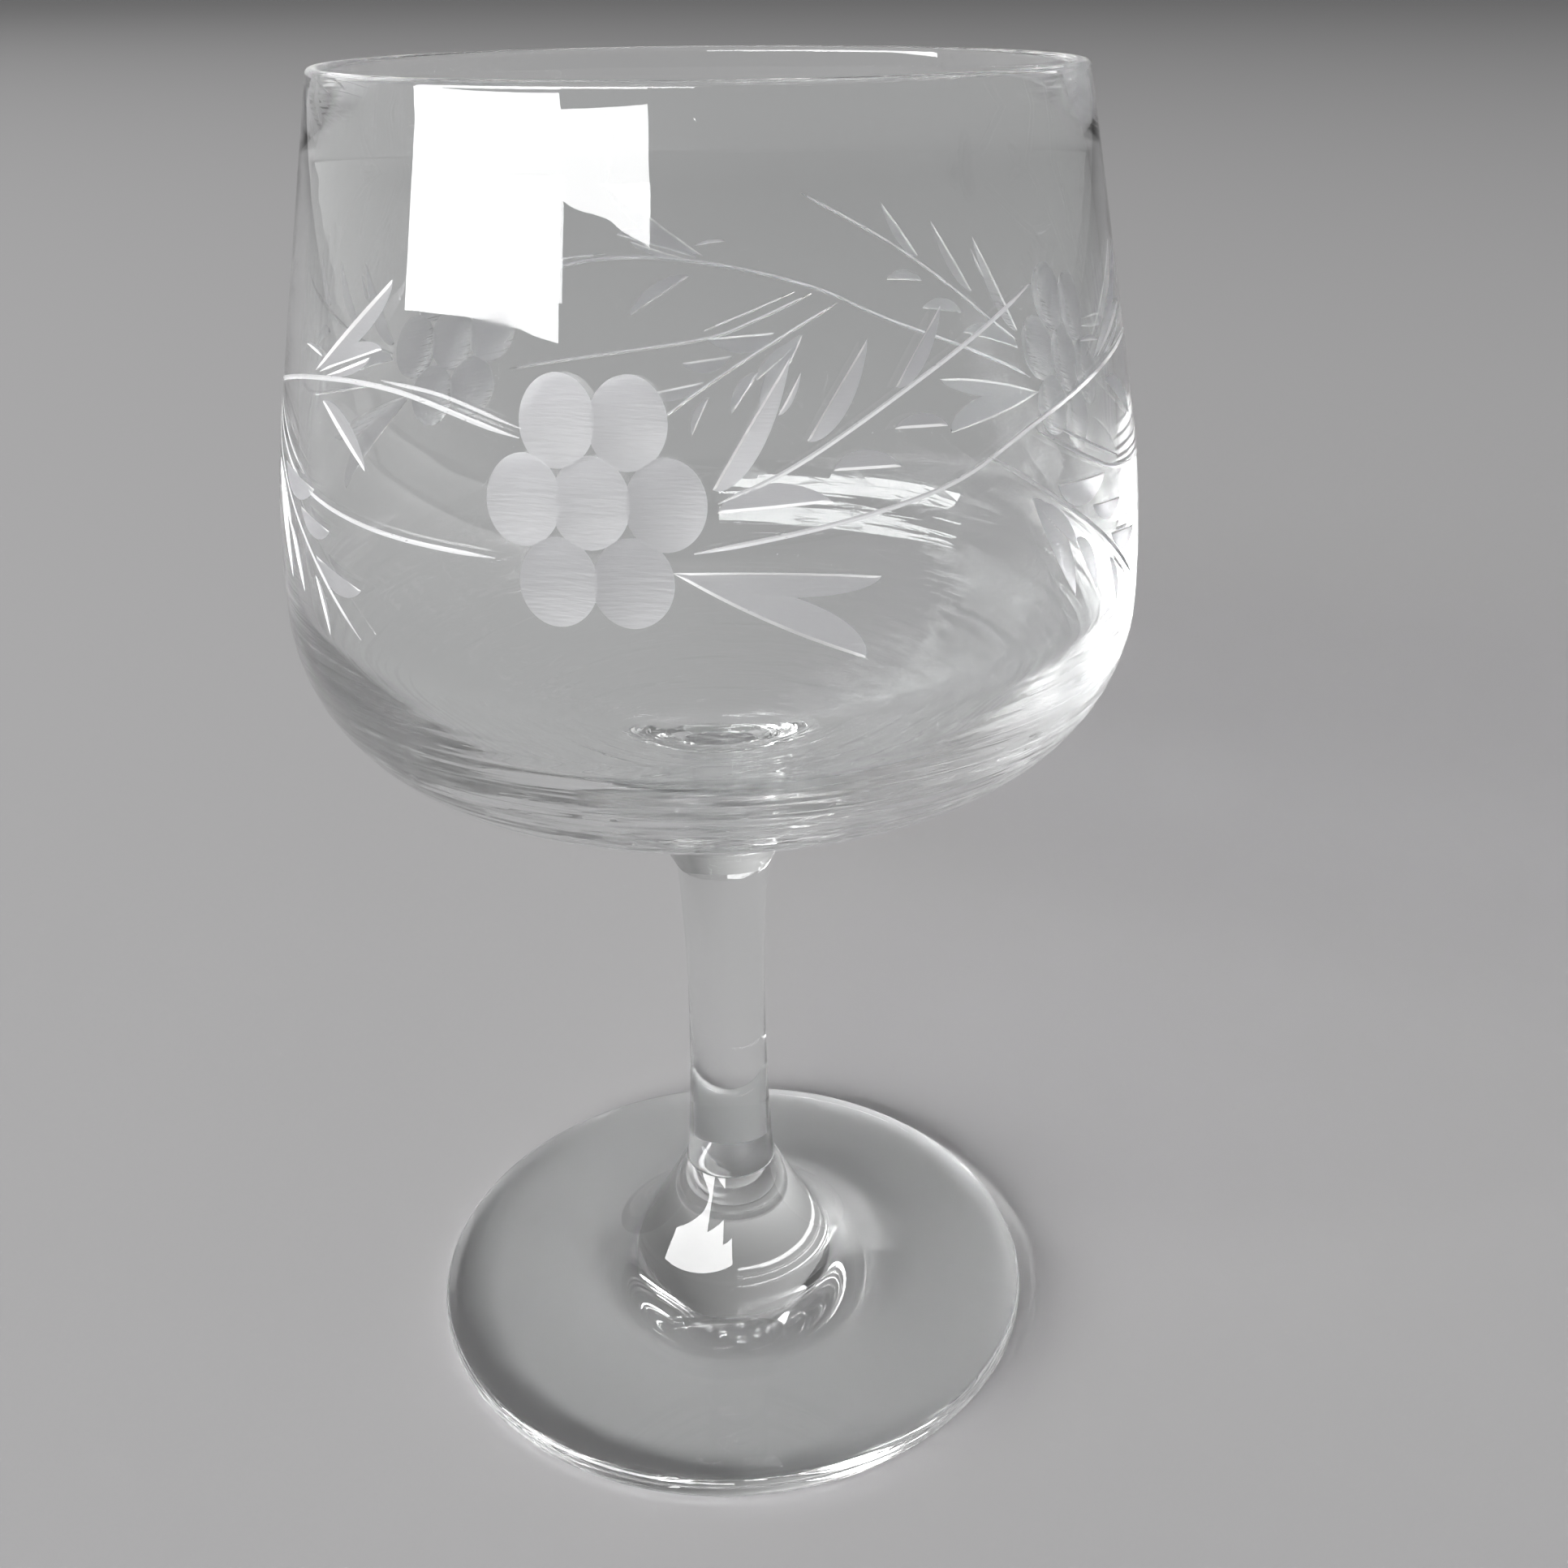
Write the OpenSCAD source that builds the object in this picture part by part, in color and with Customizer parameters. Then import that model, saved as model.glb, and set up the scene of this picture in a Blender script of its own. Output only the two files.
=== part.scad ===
// Stemmed wine glass with wheel-cut grapes on its bowl.
// Millimetres, +Z up. The origin is the centre of the ring that the foot stands on.
// Three glass pieces are stacked face to face on one axis: foot, stem and bowl.

/* [Bowl] */
// Height of the bowl, from the face of its boss to the rim
bowl_h = 81; // [78:1:88]
// Outside diameter at the rim
rim_d = 69; // [64:1:74]
// Largest outside diameter
bowl_d = 84; // [80:0.5:88]
// Height of the widest ring above the face of the boss
widest_h = 33; // [30:1:36]
// Radius of the long curve of the side above the widest ring
side_r = 100; // [90:1:130]
// Radius of the outside of the shoulder below the widest ring
shoulder_r = 17; // [15:0.5:19]
// Diameter of the boss where it meets the stem
boss_d = 10.4; // [9:0.2:12]
// Thickness of the wall at the rim
rim_wall = 1.2; // [0.8:0.1:1.8]
// Thickness of the wall at the widest ring
side_wall = 1.9; // [1.4:0.1:2.6]
// Height of the inside floor above the face of the boss
floor_h = 10; // [9:0.2:13]

/* [Wheel-cut grapes] */
// Number of grape clusters round the bowl
clusters = 3; // [1:1:4]
// Direction of the first cluster, in degrees from +X
first_cluster_a = 255.4; // [0:0.2:360]
// Height of the clusters' middle row above the face of the boss
cluster_h = 51.7; // [48:0.1:56]
// Degrees round the bowl between neighbouring grapes
grape_step = 8; // [7.6:0.2:10]
// Height between the rows of grapes
row_step = 6; // [5.6:0.1:6.6]
// Radius of the round cutter
cutter_r = 14; // [10:1:20]
// Depth of each cut into the wall
cut_depth = 0.5; // [0.2:0.05:0.6]

/* [Stem] */
// Length of the stem
stem_len = 40; // [30:1:60]
// Diameter of the stem at its waist
waist_d = 8.8; // [8:0.1:10]
// Height of the waist above the foot of the stem
waist_h = 22; // [12:1:28]
// Diameter of the stem where it meets the bowl's boss
stem_top_d = 10.2; // [9:0.1:11]
// Diameter of the stem where it meets the foot's hub
stem_base_d = 10.3; // [9:0.1:11]

/* [Foot] */
// Diameter of the foot
foot_d = 71; // [64:1:78]
// Height of the hub in the middle of the foot
hub_h = 19; // [12:1:24]
// Diameter of the hub where it meets the stem
hub_d = 10.6; // [9:0.1:12]
// Thickness of the foot at its rounded edge
edge_t = 3.2; // [2:0.1:4]
// Thickness of the foot where the disc meets the hub
disc_t = 4; // [3.2:0.1:5]
// Width of the flat ring that the glass stands on
rest_w = 3; // [2:0.5:5]
// Rise of the hollow under the foot
hollow_h = 0.9; // [0.4:0.1:1.2]

/* [Hidden] */
$fn = 96;

// Steps along each curved stretch of a profile
steps = 6;
glass_tint = [0.86, 0.90, 0.89, 0.45];

stem_z = hub_h;
boss_z = stem_z + stem_len;
rim_z = boss_z + bowl_h;

// A point r from c in direction a, and an arc of such points from a0 to a1
function polar(c, r, a) = [c[0] + r * cos(a), c[1] + r * sin(a)];
function arc(c, r, a0, a1, n) = [for (i = [0:n]) polar(c, r, a0 + (a1 - a0) * i / n)];

// A cubic curve from p0 to p3 that sets out towards p1 and arrives from p2
function curve_at(p0, p1, p2, p3, t) =
    pow(1 - t, 3) * p0 + 3 * t * pow(1 - t, 2) * p1 + 3 * t * t * (1 - t) * p2 + pow(t, 3) * p3;
function curve(p0, p1, p2, p3, n) = [for (i = [0:n]) curve_at(p0, p1, p2, p3, i / n)];

// The direction in which a line from p touches the circle of radius r round c
function touch_a(c, r, p) = atan2(p[1] - c[1], p[0] - c[0]) - acos(r / norm(p - c));

// Everything of a list but its first entry
function tail(list) = [for (i = [1:len(list) - 1]) list[i]];

// ---- Bowl: outside profile, from the rim down to the boss ----
widest_z = boss_z + widest_h;
side_c = [bowl_d / 2 - side_r, widest_z];
lip_c = [rim_d / 2 - rim_wall / 2, rim_z - rim_wall / 2];
lip_out = lip_c + [rim_wall / 2, 0];
shoulder_a = 62;
shoulder_c = [bowl_d / 2 - shoulder_r, widest_z];
shoulder_end = polar(shoulder_c, shoulder_r, -shoulder_a);
shoulder_dir = [-sin(shoulder_a), -cos(shoulder_a)];
belly_end = [13, boss_z + 9.4];
belly_dir = [-sin(71), -cos(71)];
boss_edge = [boss_d / 2, boss_z];
boss_dir = [-sin(30), -cos(30)];
outside = concat(
    arc(side_c, side_r, touch_a(side_c, side_r, lip_out), 0, 4),
    tail(arc(shoulder_c, shoulder_r, 0, -shoulder_a, 2 * steps)),
    tail(curve(shoulder_end, shoulder_end + 7 * shoulder_dir, belly_end - 7 * belly_dir, belly_end, steps)),
    tail(curve(belly_end, belly_end + 4.5 * belly_dir, boss_edge - 3 * boss_dir, boss_edge, steps))
);

// ---- Bowl: inside profile, from the middle of the floor up to the rim ----
inside_lift = 3;
inside_r = side_r - side_wall;
inside_c = side_c + [0, inside_lift];
lip_in = lip_c - [rim_wall / 2, 0];
bend_r = 16;
bend_c = [bowl_d / 2 - side_wall - bend_r, widest_z + inside_lift];
bend_end = polar(bend_c, bend_r, -shoulder_a);
floor_z = boss_z + floor_h;
inside = concat(
    curve([0, floor_z], [10, floor_z], bend_end + 12 * shoulder_dir, bend_end, steps),
    tail(arc(bend_c, bend_r, -shoulder_a, 0, 2 * steps)),
    tail(arc(inside_c, inside_r, 0, touch_a(inside_c, inside_r, lip_in), 4))
);

// ---- Wheel-cut grapes: how many stand in each row of a cluster, top row first ----
rows = [2, 3, 2];

// Radius of the outside of the side at height z, above the widest ring
touch_z = polar(side_c, side_r, touch_a(side_c, side_r, lip_out))[1];
function curved_side(z) = side_c[0] + sqrt(side_r * side_r - pow(z - side_c[1], 2));
function straight_side(z) = lip_out[0] + (lip_out[1] - z) * tan(touch_a(side_c, side_r, lip_out));
function side_at(z) = z < touch_z ? curved_side(z) : straight_side(z);

module grape_cut(a, z) {
    rotate([0, 0, a])
        translate([side_at(z) + cutter_r - cut_depth, 0, z])
            sphere(r = cutter_r);
}

module cluster_cuts() {
    for (k = [0:len(rows) - 1])
        for (i = [0:rows[k] - 1])
            grape_cut(grape_step * (i - (rows[k] - 1) / 2), boss_z + cluster_h + row_step * (1 - k));
}

module bowl() {
    color(glass_tint)
        difference() {
            rotate_extrude()
                polygon(concat(
                    [[0, boss_z], [0, floor_z]],
                    tail(inside),
                    tail(arc(lip_c, rim_wall / 2, 180, 0, steps)),
                    outside
                ));
            for (i = [0:clusters - 1])
                rotate([0, 0, first_cluster_a + i * 360 / clusters])
                    cluster_cuts();
        }
}

// ---- Stem: solid, drawn in to a waist ----
waist = [waist_d / 2, stem_z + waist_h];
stem_foot = [stem_base_d / 2, stem_z];
stem_top = [stem_top_d / 2, boss_z];

module stem() {
    color(glass_tint)
        rotate_extrude()
            polygon(concat(
                [[0, stem_z]],
                curve(stem_foot, stem_foot + [-0.35, 5], waist - [0, 9], waist, steps),
                tail(curve(waist, waist + [0, 7], stem_top - [0.3, 4], stem_top, steps)),
                [[0, boss_z]]
            ));
}

// ---- Foot: a disc with a rounded edge, a hollow underside and a flared hub ----
edge_r = edge_t / 2;
edge_c = [foot_d / 2 - edge_r, edge_r];
rest_in = [edge_c[0] - rest_w, 0];
hub_edge = [hub_d / 2, hub_h];
hub_end = [20, disc_t];

module foot() {
    color(glass_tint)
        rotate_extrude()
            polygon(concat(
                [[0, hollow_h]],
                tail(curve([0, hollow_h], [14, hollow_h], rest_in - [8, 0], rest_in, steps)),
                arc(edge_c, edge_r, -90, 80, 2 * steps),
                curve(hub_end, hub_end - [8.2, -0.5], hub_edge + [3, -5.5], hub_edge, 2 * steps),
                [[0, hub_h]]
            ));
}

foot();
stem();
bowl();
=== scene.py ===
import math
from random import Random

import bpy
import numpy as np
from mathutils import Matrix, Vector, kdtree
from mathutils.geometry import delaunay_2d_cdt


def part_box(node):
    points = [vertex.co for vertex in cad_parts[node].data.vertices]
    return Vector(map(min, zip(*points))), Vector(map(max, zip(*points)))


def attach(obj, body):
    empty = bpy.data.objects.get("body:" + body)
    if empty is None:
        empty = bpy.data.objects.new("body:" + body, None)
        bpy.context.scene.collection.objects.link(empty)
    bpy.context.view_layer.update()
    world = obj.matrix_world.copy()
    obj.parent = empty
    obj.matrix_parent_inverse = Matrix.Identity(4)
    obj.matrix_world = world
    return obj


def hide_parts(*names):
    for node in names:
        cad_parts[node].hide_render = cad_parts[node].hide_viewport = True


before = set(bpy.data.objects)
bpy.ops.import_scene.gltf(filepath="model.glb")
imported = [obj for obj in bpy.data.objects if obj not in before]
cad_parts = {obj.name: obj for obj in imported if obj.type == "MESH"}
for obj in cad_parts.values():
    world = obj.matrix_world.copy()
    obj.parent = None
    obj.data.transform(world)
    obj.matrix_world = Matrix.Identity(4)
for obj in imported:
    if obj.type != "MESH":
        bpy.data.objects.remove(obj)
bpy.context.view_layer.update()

# Stemmed wine glass with wheel-cut grapes. Shapes are worked out in millimetres
# and scaled to metres when a mesh is made. Angles are in degrees.
MM = 0.001

# ---- Heights and radii from the CAD frame ----
foot_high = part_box("foot")[1] / MM
bowl_low, bowl_high = (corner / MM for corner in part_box("bowl"))
hub_z = foot_high.z
boss_z = bowl_low.z
rim_z = bowl_high.z
foot_r = foot_high.x
bowl_r = bowl_high.x

# ---- The rest of the profile's driving dimensions, as in the CAD source ----
rim_r = 34.5
rim_wall = 1.2
side_wall = 1.9
widest_h = 33
side_curve_r = 100
shoulder_r = 17
shoulder_a = 62
boss_r = 5.2
floor_h = 10
bend_r = 16
inside_lift = 3
stem_top_r = 5.1
stem_base_r = 5.15
waist_r = 4.4
waist_h = 22
hub_r = 5.3
edge_t = 3.2
disc_t = 4
rest_w = 3
hollow_h = 0.9

SEGMENTS = 360            # faces round the axis
ON_AXIS = 1e-6            # a point nearer to the axis than this lies on it


# ---- Profile helpers: points are (radius, height), and n is the number of steps along a run ----
def cos(a):
    return math.cos(math.radians(a))


def sin(a):
    return math.sin(math.radians(a))


def polar(c, r, a):
    return c + r * np.array([cos(a), sin(a)])


def arc(c, r, a0, a1, n):
    return [polar(c, r, a0 + (a1 - a0) * i / n) for i in range(n + 1)]


def curve(p0, p1, p2, p3, n):
    """A cubic curve from p0 to p3 that sets out towards p1 and arrives from p2."""
    steps = [i / n for i in range(n + 1)]
    return [(1 - t) ** 3 * p0 + 3 * t * (1 - t) ** 2 * p1 + 3 * t * t * (1 - t) * p2 + t ** 3 * p3
            for t in steps]


def line(p0, p1, n):
    return [p0 + (p1 - p0) * i / n for i in range(n + 1)]


def touch_a(c, r, p):
    """The direction in which a line from p touches the circle of radius r round c."""
    d = p - c
    return math.degrees(math.atan2(d[1], d[0]) - math.acos(r / np.hypot(*d)))


def joined(*runs):
    """Runs of points that each start where the one before ends, as one run."""
    out = list(runs[0])
    for run in runs[1:]:
        out += run[1:]
    return out


def xy(x, y):
    return np.array([x, y], float)


# ---- Outside of the bowl ----
widest_z = boss_z + widest_h
side_c = xy(bowl_r - side_curve_r, widest_z)
lip_c = xy(rim_r - rim_wall / 2, rim_z - rim_wall / 2)
lip_out = lip_c + xy(rim_wall / 2, 0)
lip_in = lip_c - xy(rim_wall / 2, 0)
side_a = touch_a(side_c, side_curve_r, lip_out)
touch_z = polar(side_c, side_curve_r, side_a)[1]
shoulder_c = xy(bowl_r - shoulder_r, widest_z)
shoulder_end = polar(shoulder_c, shoulder_r, -shoulder_a)
shoulder_dir = xy(-sin(shoulder_a), -cos(shoulder_a))
belly_end = xy(13, boss_z + 9.4)
belly_dir = xy(-sin(71), -cos(71))
boss_edge = xy(boss_r, boss_z)
boss_dir = xy(-sin(30), -cos(30))


def side_slope_a(z):
    """Direction of the outside's normal at height z, above the widest ring."""
    rise = np.clip((np.asarray(z) - widest_z) / side_curve_r, 0, sin(side_a))
    return np.degrees(np.arcsin(rise))


def side_radius(z):
    """Radius of the outside at height z, above the widest ring."""
    z = np.asarray(z, float)
    rise = np.minimum(z, touch_z) - widest_z
    curved = side_c[0] + np.sqrt(side_curve_r ** 2 - rise ** 2)
    return curved - np.maximum(z - touch_z, 0) * math.tan(math.radians(side_a))


# ---- Inside of the bowl ----
floor_z = boss_z + floor_h
inside_c = side_c + xy(0, inside_lift)
inside_curve_r = side_curve_r - side_wall
inside_a = touch_a(inside_c, inside_curve_r, lip_in)
bend_c = xy(bowl_r - side_wall - bend_r, widest_z + inside_lift)
bend_end = polar(bend_c, bend_r, -shoulder_a)

# Faint rings that the blowing left in the thick bottom: (radius, height, width)
RINGS = (
    (7.6, 0.10, 0.9), (10.4, -0.05, 0.8), (12.6, 0.045, 0.7), (15.1, -0.05, 0.9), (17.4, 0.05, 0.8),
    (19.3, -0.035, 0.6), (21.6, 0.05, 0.9), (24.2, -0.045, 0.8), (26.3, 0.04, 0.7), (29.0, -0.045, 1.0),
    (31.8, 0.03, 0.9), (34.4, -0.025, 0.9),
)


def ringed(points):
    """The inside of the bottom with its faint rings added to the height."""
    out = []
    for p in points:
        lift = sum(h * math.exp(-((p[0] - r) / w) ** 2) for r, h, w in RINGS)
        out.append(p + xy(0, lift))
    return out


FIRST_GROOVE = 5.0        # its way down from the upper end of the run
PLAIN_END = 2.0           # length without grooves at the boss


def grooved(points):
    """The outside of the shoulder with the faint grooves of its making, from widest to boss."""
    hand = Random(5)
    run = np.array(points)
    along = np.concatenate([[0], np.cumsum(np.hypot(*np.diff(run, axis=0).T))])
    depth = np.zeros(len(run))
    at = FIRST_GROOVE
    while at < along[-1] - PLAIN_END:
        width, deep = hand.uniform(0.45, 0.8), hand.uniform(0.02, 0.05)
        depth += deep * np.exp(-((along - at) / width) ** 2)
        at += hand.uniform(1.2, 2.2)
    return list(run - depth[:, None] * profile_normals(run))


# ---- The engraved band is built on its own, between these two heights ----
BAND_LOW = 93.0
BAND_HIGH = 128.0
SEAM = 60.0               # direction in which the band's mesh closes
MM_PER_DEGREE = 0.72      # scale of the band when it is rolled out flat
TURN = 360 * MM_PER_DEGREE


def bowl_profiles():
    """From the inside floor over the lip to the band's top, and from below the band to the boss."""
    inside = joined(
        curve(xy(0, floor_z), xy(10, floor_z), bend_end + 12 * shoulder_dir, bend_end, 64),
        arc(bend_c, bend_r, -shoulder_a, 0, 26),
        arc(inside_c, inside_curve_r, 0, inside_a, 10),
        line(polar(inside_c, inside_curve_r, inside_a), lip_in, 4),
    )
    lip = arc(lip_c, rim_wall / 2, 180, 0, 14)
    band_top = xy(side_radius(BAND_HIGH), BAND_HIGH)
    above = joined(ringed(inside), lip, line(lip_out, band_top, 6))
    low_a = float(side_slope_a(BAND_LOW))
    below = joined(
        arc(side_c, side_curve_r, low_a, 0, 2),
        arc(shoulder_c, shoulder_r, 0, -shoulder_a, 56),
        curve(shoulder_end, shoulder_end + 7 * shoulder_dir, belly_end - 7 * belly_dir, belly_end, 38),
        curve(belly_end, belly_end + 4.5 * belly_dir, boss_edge - 3 * boss_dir, boss_edge, 28),
    )
    return above, grooved(below)


def stem_profile():
    foot_of = xy(stem_base_r, hub_z)
    waist = xy(waist_r, hub_z + waist_h)
    top = xy(stem_top_r, boss_z)
    return joined(
        curve(top, top - xy(0.3, 4), waist + xy(0, 7), waist, 16),
        curve(waist, waist - xy(0, 9), foot_of + xy(-0.35, 5), foot_of, 18),
    )


def foot_profile():
    """From the hub's edge out over the top, round the rim and in along the hollow underside."""
    edge_r = edge_t / 2
    edge_c = xy(foot_r - edge_r, edge_r)
    hub_edge = xy(hub_r, hub_z)
    hub_end = xy(20, disc_t)
    rim_start = polar(edge_c, edge_r, 80)
    rest_in = xy(edge_c[0] - rest_w, 0)
    return joined(
        curve(hub_edge, hub_edge + xy(3, -5.5), hub_end - xy(8.2, -0.5), hub_end, 48),
        line(hub_end, rim_start, 6),
        arc(edge_c, edge_r, 80, -90, 22),
        line(xy(edge_c[0], 0), rest_in, 3),
        curve(rest_in, rest_in - xy(8, 0), xy(14, hollow_h), xy(0, hollow_h), 20),
    )


# ---- Engraving: shapes on the band rolled out flat, in millimetres ----
CLUSTER_A = 255.4         # direction of the front cluster
REPEATS = 3


def resampled(points, step):
    """The same line with points no further apart than step."""
    out = [points[0]]
    for a, b in zip(points, points[1:]):
        n = max(1, math.ceil(np.hypot(*(b - a)) / step))
        out += [a + (b - a) * i / n for i in range(1, n + 1)]
    return out


def smooth(points, step):
    """A smooth curve through the points, at about the given step."""
    ends = [2 * points[0] - points[1]] + points + [2 * points[-1] - points[-2]]
    out = [points[0]]
    for a, b, c, d in zip(ends, ends[1:], ends[2:], ends[3:]):
        n = max(1, round(np.hypot(*(c - b)) / step))
        out += curve(b, b + (c - a) / 6, c - (d - b) / 6, c, n)[1:]
    return out


# The kinds of surface, each with its own material
KINDS = ("clear", "joint", "grape", "leaf", "edge", "line")


class Cut:
    """One cut of the wheel, between its corners low and high on the rolled-out band.
    lines() gives the runs that its faces have to follow, starting with its outline.
    depth() is positive inside its outline."""
    kind = "clear"

    def kinds(self, p):
        return np.full(len(p), KINDS.index(self.kind))


class Grape(Cut):
    """A round hollow, left by a wheel with a rounded edge."""
    kind = "grape"

    def __init__(self, centre, half_w=3.25, half_h=3.5, depth=0.5):
        self.c, self.half, self.deep = centre, xy(half_w, half_h), depth
        self.low, self.high = centre - self.half, centre + self.half

    def lines(self):
        return [[self.c + self.half * xy(cos(a), sin(a)) for a in range(0, 361, 8)]]

    def depth(self, p):
        return self.deep * (1 - (((p - self.c) / self.half) ** 2).sum(1))


class Stroke(Cut):
    """A V-shaped line cut along a smooth curve, narrower towards its ends."""
    kind = "line"
    step = 0.9            # length of its straight pieces
    end_share = 0.3       # share of the width that is left at its ends

    def __init__(self, points, width=0.5, depth=0.13, taper=3.0):
        self.line = np.array(smooth(points, self.step))
        steps = np.hypot(*np.diff(self.line, axis=0).T)
        along = np.concatenate([[0], np.cumsum(steps)])
        ends = np.minimum(along, along[-1] - along)
        share = self.end_share + (1 - self.end_share) * ends / taper
        self.half = width / 2 * np.clip(share, 0, 1)
        self.deep = depth
        self.low = self.line.min(0) - width
        self.high = self.line.max(0) + width

    def lines(self):
        along = np.gradient(self.line, axis=0)
        along /= np.hypot(*along.T)[:, None]
        across = np.stack([-along[:, 1], along[:, 0]], 1) * self.half[:, None]
        left, right = self.line + across, self.line - across
        return [list(left) + list(right[::-1]) + [left[0]], list(self.line)]

    def depth(self, p):
        best = np.full(len(p), -1.0)
        for a, b, wa, wb in zip(self.line, self.line[1:], self.half, self.half[1:]):
            ab = b - a
            t = np.clip(((p - a) @ ab) / (ab @ ab), 0, 1)
            off = np.hypot(*(p - a - t[:, None] * ab).T)
            half = wa + (wb - wa) * t
            best = np.maximum(best, 1 - off / half)
        return self.deep * best


class Leaf(Cut):
    """A slanted flat cut: a steep wall along its deep edge, running out to nothing at its belly."""
    kind = "leaf"
    step = 0.6            # usual length of its straight pieces
    wall_share = 0.35     # largest share of the leaf's width that its wall takes

    def __init__(self, base, tip, belly, bow=0.0, peak=0.5, slope=0.15, wall=0.2):
        self.base, self.chord = base, tip - base
        self.length = np.hypot(*self.chord)
        self.belly, self.bow, self.peak = belly, bow, peak
        self.slope, self.wall = slope, wall
        reach = abs(belly) + abs(bow) + 0.1
        self.low = np.minimum(base, tip) - reach
        self.high = np.maximum(base, tip) + reach

    def edges(self, x):
        """Offsets of the deep edge, of the foot of its wall and of the belly, x of the way along."""
        x = np.clip(x, 0, 1)
        deep = self.bow * 4 * x * (1 - x)
        p, q = 1.5 * self.peak, 1.5 * (1 - self.peak)
        full = x ** p * (1 - x) ** q / (self.peak ** p * (1 - self.peak) ** q)
        belly = self.belly * full
        width = np.abs(belly - deep)
        inner = deep + np.sign(self.belly) * np.minimum(self.wall, self.wall_share * width)
        return deep, inner, belly

    def lines(self):
        n = max(8, round(self.length / self.step))
        x = (1 - np.cos(np.linspace(0, math.pi, n + 1))) / 2
        across = xy(-self.chord[1], self.chord[0]) / self.length
        rows = [[self.base + self.chord * s + across * y for s, y in zip(x, off)]
                for off in self.edges(x)]
        deep, inner, belly = rows
        return [deep[:-1] + belly[::-1], inner[1:-1]]

    def sides(self, p):
        """Depth of the flat facet and of the steep wall, carried on past where they meet."""
        d = p - self.base
        x = (d @ self.chord) / self.length ** 2
        y = (d[:, 1] * self.chord[0] - d[:, 0] * self.chord[1]) / self.length
        deep, inner, belly = self.edges(x)
        side = np.sign(self.belly)
        facet = self.slope * (belly - y) * side
        room = np.maximum(np.abs(inner - deep), 1e-6)
        wall = self.slope * np.abs(belly - inner) * (y - deep) * side / room
        inside = (x > 0) & (x < 1)
        return np.where(inside, facet, -1.0), np.where(inside, wall, -1.0)

    def depth(self, p):
        return np.minimum(*self.sides(p))

    def kinds(self, p):
        facet, wall = self.sides(p)
        return np.where(wall < facet, KINDS.index("edge"), KINDS.index("leaf"))


# Rows of a cluster, top first: the offsets of its grapes in degrees and their height
GRAPES = (
    ((-4.1, 3.9), 6.0),
    ((-8.0, -0.1, 8.2), 0.0),
    ((-3.8, 4.4), -6.0),
)
CLUSTER_Z = 110.7

# Vines and stalks through (degrees right of the cluster, height), with their width
VINES = (
    (0.40, ((11, 107.1), (39, 110.4), (55, 114), (75.6, 116.8), (93.7, 117.5), (111.4, 115.2))),
    (0.30, ((91, 118.1), (101, 117.7), (111.6, 115.9))),
    (0.38, ((55, 113.2), (65, 109.8), (74, 107.6), (89.6, 106.4), (108.6, 106))),
    (0.30, ((58, 113.3), (67, 110.5), (74, 108.6))),
    (0.38, ((13.7, 110.8), (21.4, 113), (36.8, 118.5), (56, 124.5))),
)
LOWER_STALK = (0.38, ((46.5, 112.2), (52.8, 109.5), (66.8, 103.2), (80, 96.5)))

# Leaves: base, tip, belly in mm to the left of the way from base to tip, bow of the deep edge, peak
UPPER_SPRIG = (
    ((13.3, 111.9), (22.4, 121.2), -1.6, 0.15, 0.35),
    ((20.4, 117), (23.2, 120), -0.5, 0, 0.4),
    ((23.5, 115.2), (31.2, 122.2), -1.4, 0.1, 0.4),
    ((34.6, 118.5), (41.3, 124), -1.3, 0.1, 0.4),
    ((13.7, 110), (26.3, 110.4), 2.0, 0, 0.45),
    ((26.5, 112.7), (34.6, 112.5), 1.5, 0, 0.45),
    ((34, 115.5), (41, 115.2), 1.2, 0, 0.5),
)
BIG_LEAF = (
    ((8.8, 105.6), (31.6, 104.4), -1.5, 0.4, 0.6),
    ((8.8, 105.6), (29.5, 98), 2.4, -0.3, 0.65),
)
VINE_LEAVES = (
    ((75.6, 117.3), (92.2, 125.6), -1.7, 0, 0.6),
    ((77, 117.3), (91, 120.3), 1.3, 0, 0.6),
    ((79, 117.2), (88.7, 119.5), -0.7, 0, 0.6),
    ((78.4, 115.2), (88.8, 110.8), 1.7, 0, 0.5),
    ((72, 119.2), (77.5, 118.7), 0.5, 0, 0.5),
)
LOWER_SPRIG = (
    ((58, 108.5), (69.6, 107.8), -2.1, 0, 0.45),
    ((65.3, 105.6), (73.8, 104.8), -1.7, 0, 0.5),
    ((70.4, 102.3), (80.8, 101), -1.7, 0, 0.5),
    ((52.8, 108), (60.6, 98.5), 1.7, -0.4, 0.45),
    ((53.5, 107.6), (61.2, 102.6), 1.3, -0.2, 0.5),
    ((60.9, 103.5), (65.7, 98.2), 1.3, -0.1, 0.45),
    ((69.6, 100.3), (72.7, 95.5), 1.0, 0, 0.45),
)
# How far the cutter let parts of the pattern slip from one repeat to the next, in degrees
VINE_LEAF_SLIP = (-6, -2, 0)
LOWER_SLIP = (0, 4, 7.5)


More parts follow.
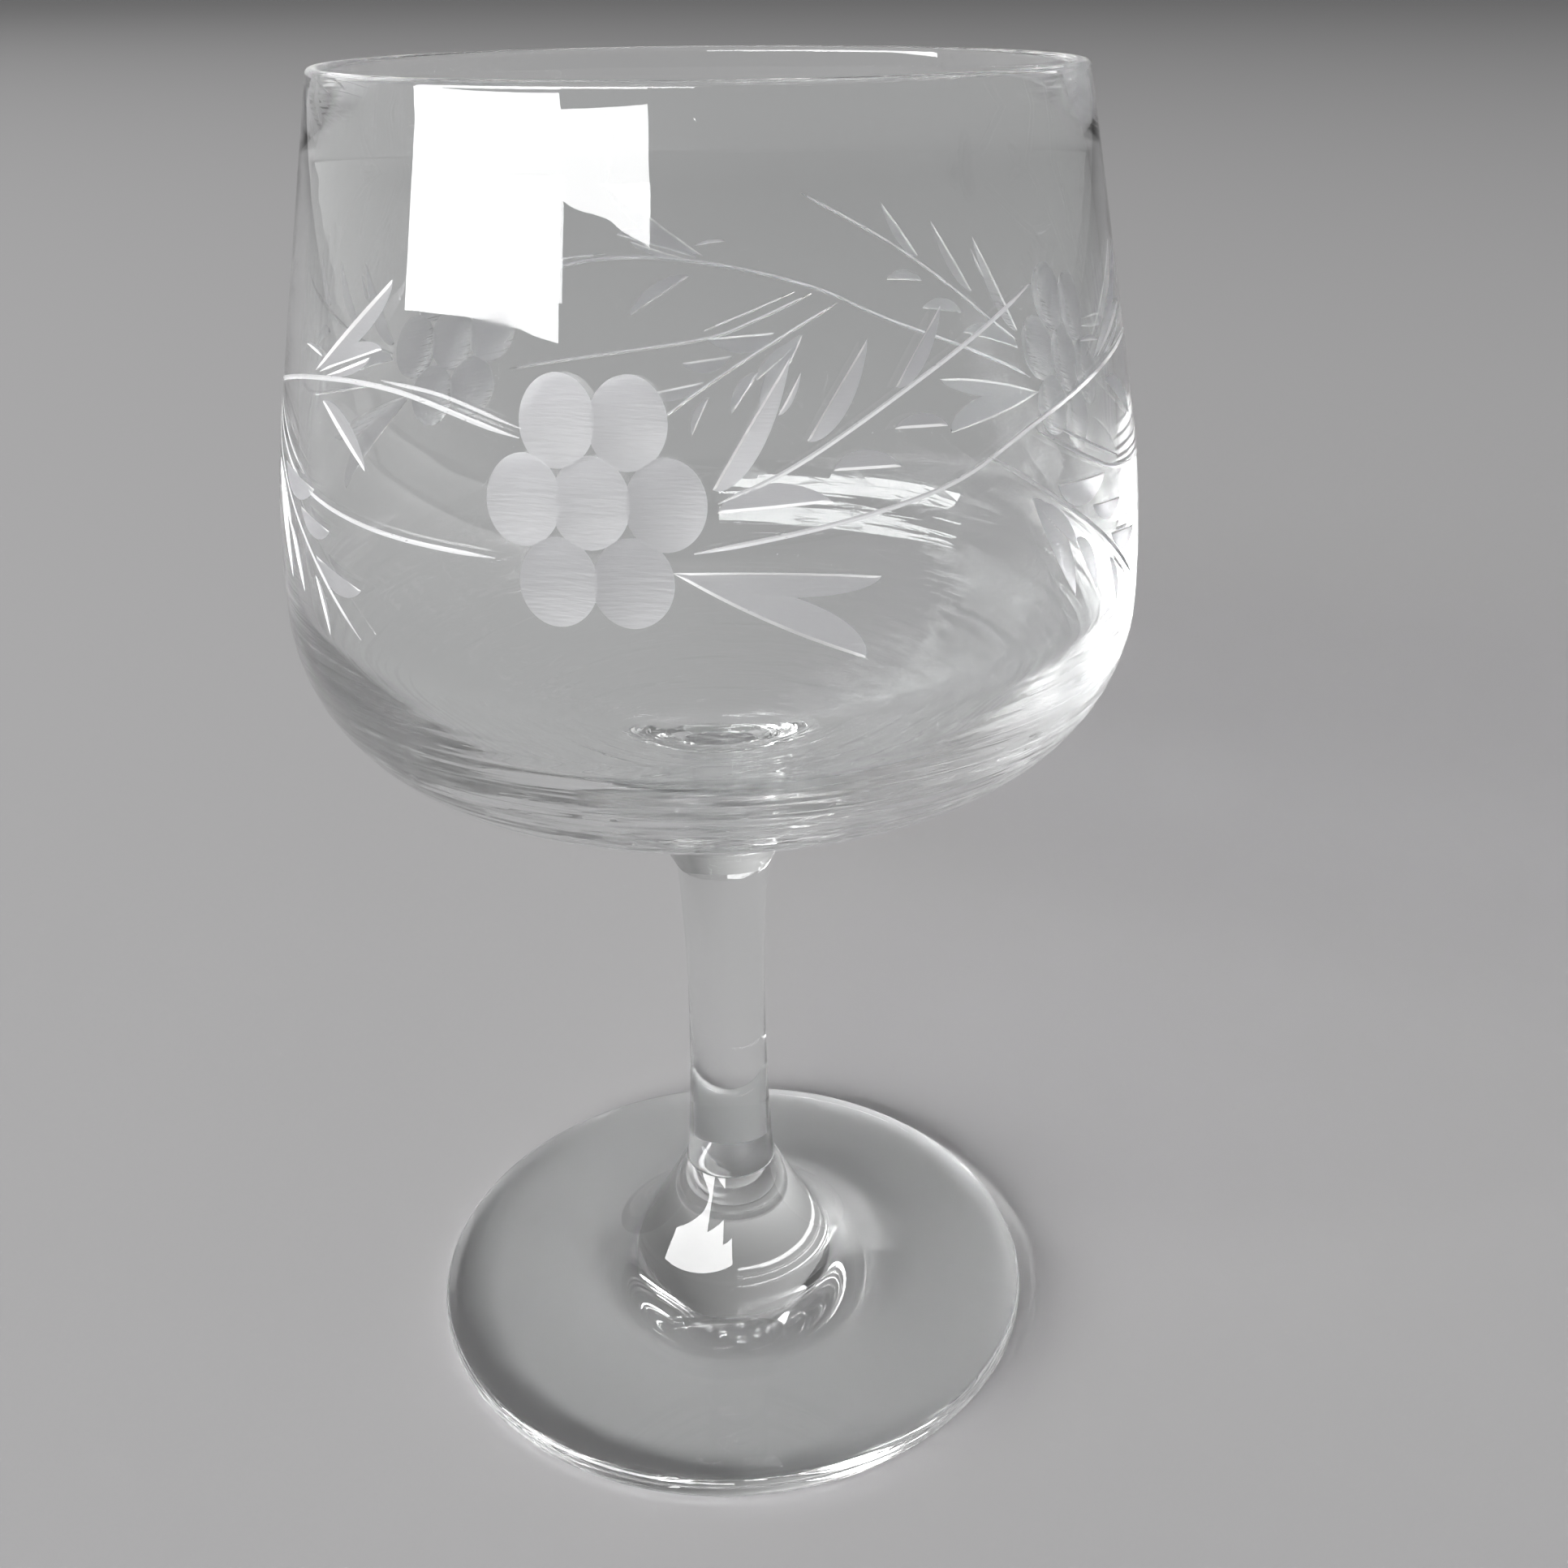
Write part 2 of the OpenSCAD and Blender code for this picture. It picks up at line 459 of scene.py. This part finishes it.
def cuts():
    """Every cut on the rolled-out band."""
    hand = Random(7)
    out = []
    for k in range(REPEATS):
        start = (CLUSTER_A + 360 / REPEATS * k - SEAM) % 360

        def flat(point, slip=0.0):
            return xy((start + point[0] + slip) * MM_PER_DEGREE, point[1])

        def cut_leaves(rows, slip=0.0):
            for base, tip, belly, bow, peak in rows:
                nudge = xy(hand.uniform(-0.15, 0.15), hand.uniform(-0.15, 0.15))
                grow = hand.uniform(0.92, 1.08)
                out.append(Leaf(flat(base, slip) + nudge, flat(tip, slip) + nudge,
                                belly * grow, bow, peak))

        for offsets, height in GRAPES:
            for a in offsets:
                lean = xy(hand.uniform(-0.1, 0.1), hand.uniform(-0.1, 0.1))
                out.append(Grape(flat((a, CLUSTER_Z + height)) + lean))
        for width, points in VINES:
            out.append(Stroke([flat(p) for p in points], width))
        width, points = LOWER_STALK
        out.append(Stroke([flat(p, LOWER_SLIP[k]) for p in points], width))
        cut_leaves(UPPER_SPRIG)
        cut_leaves(BIG_LEAF)
        cut_leaves(VINE_LEAVES, VINE_LEAF_SLIP[k])
        cut_leaves(LOWER_SPRIG, LOWER_SLIP[k])
    return out


def wrapped(shapes):
    """The shapes, with the ones that cross the seam repeated on its other side."""
    out = []
    for shape in shapes:
        for shift in (-TURN, 0, TURN):
            if shape.low[0] + shift < TURN and shape.high[0] + shift > 0:
                out.append((shape, xy(shift, 0)))
    return out


def depth_and_kind(p, shapes):
    """Depth of the deepest cut at each point, and which kind of cut it is."""
    depth = np.zeros(len(p))
    kind = np.zeros(len(p), int)
    for shape, shift in shapes:
        q = p - shift
        near = ((q > shape.low) & (q < shape.high)).all(1)
        if near.any():
            d = shape.depth(q[near])
            deeper = d > depth[near]
            where = np.flatnonzero(near)[deeper]
            depth[where] = d[deeper]
            kind[where] = shape.kinds(q[near][deeper])
    return depth, kind


# ---- Meshes ----
class Shell:
    """Collects the faces of one closed piece, with the true normal at each corner."""

    def __init__(self):
        self.points, self.faces, self.normals, self.kinds = [], [], [], []

    def ring(self, p):
        """Adds the points of one ring, or the single point on the axis."""
        first = len(self.points)
        if p[0] < ON_AXIS:
            self.points.append((0, 0, p[1]))
            return [first] * SEGMENTS
        for j in range(SEGMENTS):
            a = SEAM + 360 * j / SEGMENTS
            self.points.append((p[0] * cos(a), p[0] * sin(a), p[1]))
        return list(range(first, first + SEGMENTS))

    def lathe(self, profile, kind="clear", first=None, last=None):
        """Faces between the rings of a profile, whose left side is the outside.
        first and last are rings that are there already."""
        n = len(profile)
        there = {0: first, n - 1: last}
        rings = [there.get(i) or self.ring(p) for i, p in enumerate(profile)]
        slopes = profile_normals(profile)
        for i in range(n - 1):
            for j in range(SEGMENTS):
                j2 = (j + 1) % SEGMENTS
                corners = [(rings[i + 1][j], i + 1, j), (rings[i + 1][j2], i + 1, j + 1),
                           (rings[i][j2], i, j + 1), (rings[i][j], i, j)]
                if rings[i][0] == rings[i][1]:
                    corners.pop()
                if rings[i + 1][0] == rings[i + 1][1]:
                    corners.pop(1)
                self.faces.append([c[0] for c in corners])
                self.kinds.append(kind)
                for _, row, col in corners:
                    a = SEAM + 360 * col / SEGMENTS
                    nr, nz = slopes[row]
                    self.normals.append((nr * cos(a), nr * sin(a), nz))
        return rings[0], rings[-1]

    def object(self, name, materials):
        """The finished mesh object, in metres."""
        mesh = bpy.data.meshes.new(name)
        mesh.from_pydata([(x * MM, y * MM, z * MM) for x, y, z in self.points], [], self.faces)
        for kind in KINDS:
            mesh.materials.append(materials[kind])
        mesh.polygons.foreach_set("material_index", [KINDS.index(k) for k in self.kinds])
        mesh.polygons.foreach_set("use_smooth", [True] * len(self.faces))
        mesh.normals_split_custom_set(self.normals)
        mesh.update()
        piece = bpy.data.objects.new(name, mesh)
        bpy.context.scene.collection.objects.link(piece)
        return piece


def profile_normals(profile):
    """Unit normals to the left of a smooth run of points."""
    p = np.array(profile)
    step = np.diff(p, axis=0)
    size = np.hypot(*step.T)
    unit = step / size[:, None]
    along = np.empty_like(p)
    along[0], along[-1] = unit[0], unit[-1]
    before, after = size[:-1, None], size[1:, None]
    along[1:-1] = (unit[:-1] * after + unit[1:] * before) / (before + after)
    if p[0, 0] < ON_AXIS:
        along[0] = xy(1, 0)
    if p[-1, 0] < ON_AXIS:
        along[-1] = xy(-1, 0)
    along /= np.hypot(*along.T)[:, None]
    return np.stack([-along[:, 1], along[:, 0]], 1)


GRID_Z = 0.9              # height of the band's plain faces
CLEAR_OF_CUTS = 0.3       # plain points keep this far from the cuts' edges
CLEAR_OF_SEAM = 0.2       # and this far from the seam
CUT_STEP = 0.8            # longest step along the edges of the cuts
NEAR = 1e-3               # points of the band closer than this are the same
INWARD = 0.08             # share of the way to a face's middle at which its slope is read


def band_mesh(shapes):
    """Triangles of the rolled-out band that follow the edges of the cuts."""
    points, edges = [], []

    def add_line(run):
        first = len(points)
        points.extend(Vector(p) for p in run)
        edges.extend((i, i + 1) for i in range(first, first + len(run) - 1))

    for shape, shift in shapes:
        for run in shape.lines():
            add_line([p + shift for p in resampled(run, CUT_STEP)])
    tree = kdtree.KDTree(len(points))
    for i, p in enumerate(points):
        tree.insert((p.x, p.y, 0), i)
    tree.balance()
    rows = round((BAND_HIGH - BAND_LOW) / GRID_Z)
    heights = [BAND_LOW + (BAND_HIGH - BAND_LOW) * i / rows for i in range(rows + 1)]
    first = len(points)
    border = [(TURN * j / SEGMENTS, BAND_LOW) for j in range(SEGMENTS)]
    border += [(TURN, z) for z in heights[:-1]]
    border += [(TURN * j / SEGMENTS, BAND_HIGH) for j in range(SEGMENTS, 0, -1)]
    border += [(0, z) for z in heights[:0:-1]]
    points += [Vector(p) for p in border]
    face = list(range(first, first + len(border)))
    for i, z in enumerate(heights[1:-1]):
        for j in range(1, SEGMENTS):
            u = TURN * (j + 0.5 * (i % 2)) / SEGMENTS
            if tree.find((u, z, 0))[2] > CLEAR_OF_CUTS and u < TURN - CLEAR_OF_SEAM:
                points.append(Vector((u, z)))
    inside_border, same = 1, 1e-4
    made = delaunay_2d_cdt(points, edges, [face], inside_border, same)
    return np.array([tuple(p) for p in made[0]]), made[2]


def band_points(flat, depth):
    """Places points of the rolled-out band in space, sunk by depth."""
    a = np.radians(SEAM + flat[:, 0] / MM_PER_DEGREE)
    slope = np.radians(side_slope_a(flat[:, 1]))
    r = side_radius(flat[:, 1]) - depth * np.cos(slope)
    return np.stack([r * np.cos(a), r * np.sin(a), flat[:, 1] - depth * np.sin(slope)], 1)


def band_normals(flat, sunk_u, sunk_v):
    """Normals of the band where the depth of a cut grows by sunk_u and sunk_v per mm."""
    a = np.radians(SEAM + flat[:, 0] / MM_PER_DEGREE)
    slope = np.radians(side_slope_a(flat[:, 1]))
    ca, sa, cs, ss = np.cos(a), np.sin(a), np.cos(slope), np.sin(slope)
    out = np.stack([cs * ca, cs * sa, ss], 1)
    out += sunk_u[:, None] * np.stack([-sa, ca, 0 * a], 1)
    out += sunk_v[:, None] * np.stack([-ss * ca, -ss * sa, cs], 1)
    return out / np.linalg.norm(out, axis=1)[:, None]


def seam_partners(flat, free):
    """The points on the band's right end, each with the point of its left end that it meets."""
    left = np.flatnonzero((np.abs(flat[:, 0]) < NEAR) & free)
    right = np.flatnonzero((np.abs(flat[:, 0] - TURN) < NEAR) & free)
    return {r: left[np.abs(flat[left, 1] - flat[r, 1]).argmin()] for r in right}


def number_points(shell, flat, space, corners, top_ring, low_ring):
    """The shell's number of each point of the band. It adds those that aren't on the two rings."""
    number = np.full(len(flat), -1)
    column = np.round(flat[:, 0] / TURN * SEGMENTS).astype(int) % SEGMENTS
    for ring, height in ((top_ring, BAND_HIGH), (low_ring, BAND_LOW)):
        on = np.abs(flat[:, 1] - height) < NEAR
        number[on] = np.array(ring)[column[on]]
    free = (number < 0) & np.isin(np.arange(len(flat)), corners)
    partner = seam_partners(flat, free)
    for i in np.flatnonzero(free):
        if i not in partner:
            number[i] = len(shell.points)
            shell.points.append(tuple(space[i]))
    for right, left in partner.items():
        number[right] = number[left]
    return number


def corner_normals(flat, corners, middle, kind, shapes):
    """Normals at the corners of each triangle, from the slope of its own cut a little inside it."""
    at = flat[corners.ravel()]
    inside = at + (np.repeat(middle, 3, axis=0) - at) * INWARD
    step = 1e-3
    here = depth_and_kind(inside, shapes)[0]
    du = (depth_and_kind(inside + xy(step, 0), shapes)[0] - here) / step
    dv = (depth_and_kind(inside + xy(0, step), shapes)[0] - here) / step
    plain = np.repeat(kind, 3) == KINDS.index("clear")
    du[plain], dv[plain] = 0, 0
    return band_normals(at, du, dv).reshape(-1, 3, 3)


def add_band(shell, top_ring, low_ring):
    """Joins the engraved band to the shell between two of its rings."""
    shapes = wrapped(cuts())
    flat, faces = band_mesh(shapes)
    corners = np.array([f for f in faces if len(f) == 3])
    space = band_points(flat, depth_and_kind(flat, shapes)[0])
    number = number_points(shell, flat, space, corners, top_ring, low_ring)
    middle = flat[corners].mean(1)
    kind = depth_and_kind(middle, shapes)[1]
    normals = corner_normals(flat, corners, middle, kind, shapes)
    for tri, k, three in zip(number[corners], kind, normals):
        if len(set(tri)) == 3:
            shell.faces.append([int(i) for i in tri])
            shell.kinds.append(KINDS[k])
            shell.normals.extend(map(tuple, three))


def make_bowl(materials):
    shell = Shell()
    above, below = bowl_profiles()
    _, top_ring = shell.lathe(above)
    low_ring, boss_ring = shell.lathe(below)
    add_band(shell, top_ring, low_ring)
    contact = xy(stem_top_r, boss_z)
    _, inner = shell.lathe([boss_edge, contact], "clear", first=boss_ring)
    shell.lathe([contact, xy(0, boss_z)], "joint", first=inner)
    return shell.object("bowl_glass_cut", materials)


def make_stem(materials):
    shell = Shell()
    profile = stem_profile()
    top_ring, base_ring = shell.lathe(profile)
    shell.lathe([xy(0, boss_z), profile[0]], "joint", last=top_ring)
    shell.lathe([profile[-1], xy(0, hub_z)], "joint", first=base_ring)
    return shell.object("stem_glass_rod", materials)


def make_foot(materials):
    shell = Shell()
    profile = foot_profile()
    top_ring, _ = shell.lathe(profile)
    contact = xy(stem_base_r, hub_z)
    inner, _ = shell.lathe([contact, profile[0]], "clear", last=top_ring)
    shell.lathe([xy(0, hub_z), contact], "joint", last=inner)
    return shell.object("foot_glass_disc", materials)


# ---- Materials: their scales are in metres ----
GLASS_IOR = 1.52


def new_material(name):
    material = bpy.data.materials.new(name)
    material.use_nodes = True
    tree = material.node_tree
    shader = next(n for n in tree.nodes if n.type == "BSDF_PRINCIPLED")
    return material, tree, shader


def add_node(tree, kind, **settings):
    node = tree.nodes.new(kind)
    for name, value in settings.items():
        if name in node.inputs:
            node.inputs[name].default_value = value
        else:
            setattr(node, name, value)
    return node


def linked(tree, kind, *sources, **settings):
    """A new node with the sources linked to its first inputs."""
    node = add_node(tree, kind, **settings)
    for socket, source in zip(node.inputs, sources):
        tree.links.new(source, socket)
    return node


def reckoned(tree, operation, *terms):
    """The outcome of a Math node. Each term is a number or another node's output."""
    node = add_node(tree, "ShaderNodeMath", operation=operation)
    for socket, term in zip(node.inputs, terms):
        if isinstance(term, (int, float)):
            socket.default_value = term
        else:
            tree.links.new(term, socket)
    return node.outputs["Value"]


def stretched_noise(tree, stretch, scale, detail):
    """Noise in the piece's own space, drawn out along the axes whose factor is small."""
    place = add_node(tree, "ShaderNodeTexCoord").outputs["Object"]
    mapping = linked(tree, "ShaderNodeMapping", place, Scale=stretch).outputs["Vector"]
    return linked(tree, "ShaderNodeTexNoise", mapping, Scale=scale, Detail=detail).outputs["Fac"]


def mapped(tree, source, from_low, from_high, to_low, to_high):
    """The source with the range from_low..from_high carried over to to_low..to_high."""
    ramp = linked(tree, "ShaderNodeMapRange", source)
    for socket, value in zip(("From Min", "From Max", "To Min", "To Max"),
                             (from_low, from_high, to_low, to_high)):
        ramp.inputs[socket].default_value = value
    return ramp.outputs["Result"]


def bump(tree, height, strength, distance, shader):
    """A Bump node on the shader. A second one takes the first one's place, and needs its normal."""
    node = add_node(tree, "ShaderNodeBump", Strength=strength, Distance=distance)
    tree.links.new(height, node.inputs["Height"])
    tree.links.new(node.outputs["Normal"], shader.inputs["Normal"])
    return node


STREAKS_ROUND = 1.3       # how often the streaks break round the bowl
STREAKS_PER_M = 750       # how many rings of them there are to the metre
# The heights between which they come in and go again: from, to, share at the first, at the second
STREAKS_FADE = ((0.060, 0.064, 0, 1), (0.078, 0.090, 1, 0))


def ring_streaks(tree):
    """Noise drawn out into broken rings round the axis, in the thick bottom of the bowl only."""
    place = add_node(tree, "ShaderNodeTexCoord").outputs["Object"]
    level = linked(tree, "ShaderNodeMapping", place, Scale=(1, 1, 0)).outputs["Vector"]
    outward = linked(tree, "ShaderNodeVectorMath", level, operation="NORMALIZE").outputs["Vector"]
    radius = linked(tree, "ShaderNodeVectorMath", level, operation="LENGTH").outputs["Value"]
    height = linked(tree, "ShaderNodeSeparateXYZ", place).outputs["Z"]
    around = linked(tree, "ShaderNodeMapping", outward, Scale=(STREAKS_ROUND, STREAKS_ROUND, 0))
    along = reckoned(tree, "MULTIPLY_ADD", radius, STREAKS_PER_M / 2,
                     reckoned(tree, "MULTIPLY", height, STREAKS_PER_M))
    lifted = add_node(tree, "ShaderNodeCombineXYZ")
    tree.links.new(along, lifted.inputs["Z"])
    spot = linked(tree, "ShaderNodeVectorMath", around.outputs["Vector"], lifted.outputs["Vector"],
                  operation="ADD")
    noise = linked(tree, "ShaderNodeTexNoise", spot.outputs["Vector"], Scale=1, Detail=1)
    streaks = noise.outputs["Fac"]
    for low, high, at_low, at_high in STREAKS_FADE:
        share = mapped(tree, height, low, high, at_low, at_high)
        streaks = reckoned(tree, "MULTIPLY", streaks, share)
    return streaks


def clear_glass(name):
    """Fire-polished glass: nearly smooth, with faint wear, drawing lines and rings."""
    material, tree, shader = new_material(name)
    shader.inputs["Base Color"].default_value = (0.985, 0.994, 0.991, 1)
    shader.inputs["Transmission Weight"].default_value = 1.0
    shader.inputs["IOR"].default_value = GLASS_IOR
    wear = stretched_noise(tree, (1, 1, 0.4), 140, 3)
    tree.links.new(mapped(tree, wear, 0.45, 0.8, 0.0, 0.05), shader.inputs["Roughness"])
    drawn = stretched_noise(tree, (0.3, 0.3, 1), 260, 1)
    waved = bump(tree, drawn, 0.05, 0.0002, shader)
    rings = bump(tree, ring_streaks(tree), 0.8, 0.0002, shader)
    tree.links.new(waved.outputs["Normal"], rings.inputs["Normal"])
    return material


FINE_PER_M = 9000         # how many fine lines the wheel leaves to the metre
COARSE_PER_M = 3000       # and how many coarse ones


def cut_glass(name, colour, transmission, rough, grain):
    """Glass ground matt by the wheel, with fine lines along the way it turned."""
    material, tree, shader = new_material(name)
    shader.inputs["Base Color"].default_value = colour
    shader.inputs["Transmission Weight"].default_value = transmission
    shader.inputs["IOR"].default_value = GLASS_IOR
    lines = stretched_noise(tree, (0.12, 0.12, 1), FINE_PER_M, 3)
    uneven = mapped(tree, lines, 0.3, 0.7, rough - 0.08, rough + 0.08)
    tree.links.new(uneven, shader.inputs["Roughness"])
    fine = bump(tree, lines, grain, 0.00004, shader)
    coarse_lines = stretched_noise(tree, (0.1, 0.1, 1), COARSE_PER_M, 2)
    coarse = bump(tree, coarse_lines, grain, 0.00012, shader)
    tree.links.new(fine.outputs["Normal"], coarse.inputs["Normal"])
    return material


def fused_joint(name):
    """The face where two pieces are fused: light goes straight on."""
    material = bpy.data.materials.new(name)
    material.use_nodes = True
    tree = material.node_tree
    tree.nodes.clear()
    clear = tree.nodes.new("ShaderNodeBsdfTransparent")
    out = tree.nodes.new("ShaderNodeOutputMaterial")
    tree.links.new(clear.outputs["BSDF"], out.inputs["Surface"])
    return material


def floor_material():
    material, tree, shader = new_material("floor_pale")
    shader.inputs["Base Color"].default_value = (0.45, 0.445, 0.45, 1)
    shader.inputs["Roughness"].default_value = 0.8
    return material


# ---- Studio ----
HORIZON = 0.5             # brightness of the surroundings at eye level
ZENITH = 0.3              # and overhead
FRONT = 0.4               # share of it that is left in front of the glass
LEFT, RIGHT = 1.4, 0.5    # and shares to its left and right
WALL_A, WALL = -120, 5    # direction and distance in metres of the wall of softboxes
# Its lights: name, left and right side, lower and upper side in metres, power in watts
SOFTBOXES = (
    ("softbox_left", -7.85, -0.93, 1.05, 3.12, 690),
    ("softbox_wing", -0.93, 1.22, 1.45, 2.0, 57),
    ("softbox_top", -0.93, 2.5, 2.0, 3.12, 186),
)


def add_floor():
    mesh = bpy.data.meshes.new("floor")
    reach, level = 60.0, -0.00005
    corners = [(-reach, -reach, level), (reach, -reach, level),
               (reach, reach, level), (-reach, reach, level)]
    mesh.from_pydata(corners, [], [(0, 1, 2, 3)])
    mesh.materials.append(floor_material())
    floor = bpy.data.objects.new("floor", mesh)
    bpy.context.scene.collection.objects.link(floor)


def add_softbox(name, left, right, low, high, power):
    """An upright rectangular soft light on the wall. Its sides are given in metres
    from the point of the wall that is nearest to the glass, and from the floor."""
    light = bpy.data.lights.new(name, "AREA")
    light.shape = "RECTANGLE"
    light.size, light.size_y = right - left, high - low
    light.energy = power
    box = bpy.data.objects.new(name, light)
    away = Vector((cos(WALL_A), sin(WALL_A), 0))
    sideways = Vector((-sin(WALL_A), cos(WALL_A), 0)) * (left + right) / 2
    box.location = away * WALL + sideways + Vector((0, 0, (low + high) / 2))
    box.rotation_mode = "QUATERNION"
    box.rotation_quaternion = away.to_track_quat("Z", "Y")
    box.visible_camera = False
    bpy.context.scene.collection.objects.link(box)


def add_world():
    """Plain pale surroundings, dimmer overhead, in front of the glass and to its right."""
    world = bpy.data.worlds.new("studio")
    world.use_nodes = True
    tree = world.node_tree
    place = add_node(tree, "ShaderNodeTexCoord")
    towards = add_node(tree, "ShaderNodeSeparateXYZ")
    tree.links.new(place.outputs["Generated"], towards.inputs["Vector"])
    glow = mapped(tree, towards.outputs["Z"], 0.05, 0.6, HORIZON, ZENITH)
    for share in (mapped(tree, towards.outputs["Y"], -0.7, 0.3, FRONT, 1),
                  mapped(tree, towards.outputs["X"], -0.4, 0.4, LEFT, RIGHT)):
        glow = reckoned(tree, "MULTIPLY", glow, share)
    tree.links.new(glow, tree.nodes["Background"].inputs["Strength"])
    tree.nodes["Background"].inputs["Color"].default_value = (1, 1, 1, 1)
    bpy.context.scene.world = world


def add_camera():
    """Close above the rim, looking down at the glass."""
    data = bpy.data.cameras.new("camera")
    data.sensor_width = 36
    data.lens = 38.4
    data.dof.use_dof = False
    data.clip_start = 0.01
    camera = bpy.data.objects.new("camera", data)
    yaw, pitch, roll = 3.8, 25.7, -0.53
    place = Matrix.Translation((-0.004, -0.163, rim_z * MM + 0.0064))
    heading = Matrix.Rotation(math.radians(-yaw), 4, "Z")
    tilt = Matrix.Rotation(math.radians(90 - pitch), 4, "X")
    camera.matrix_world = place @ heading @ tilt @ Matrix.Rotation(math.radians(roll), 4, "Z")
    bpy.context.scene.collection.objects.link(camera)
    bpy.context.scene.camera = camera


MATERIALS = {
    "clear": clear_glass("clear_glass"),
    "joint": fused_joint("fused_joint"),
    "grape": cut_glass("cut_grape", (0.62, 0.62, 0.64, 1), 0.85, 0.5, 0.5),
    "leaf": cut_glass("cut_leaf", (0.72, 0.72, 0.74, 1), 0.85, 0.45, 0.3),
    "edge": cut_glass("cut_edge", (1, 1, 1, 1), 0.35, 0.35, 0.2),
    "line": cut_glass("cut_line", (0.9, 0.9, 0.91, 1), 0.6, 0.35, 0.04),
}

for make, node in ((make_bowl, "bowl"), (make_stem, "stem"), (make_foot, "foot")):
    piece = make(MATERIALS)
    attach(piece, "root")
    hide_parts(node)

add_floor()
for softbox in SOFTBOXES:
    add_softbox(*softbox)
add_world()
add_camera()
scene = bpy.context.scene
scene.view_settings.view_transform = "Standard"
# Light bounces many times inside the thick glass before it leaves
BOUNCES = 32
scene.cycles.max_bounces = BOUNCES
scene.cycles.transmission_bounces = BOUNCES
scene.cycles.glossy_bounces = BOUNCES
scene.cycles.blur_glossy = 0
scene.cycles.sample_clamp_indirect = 0
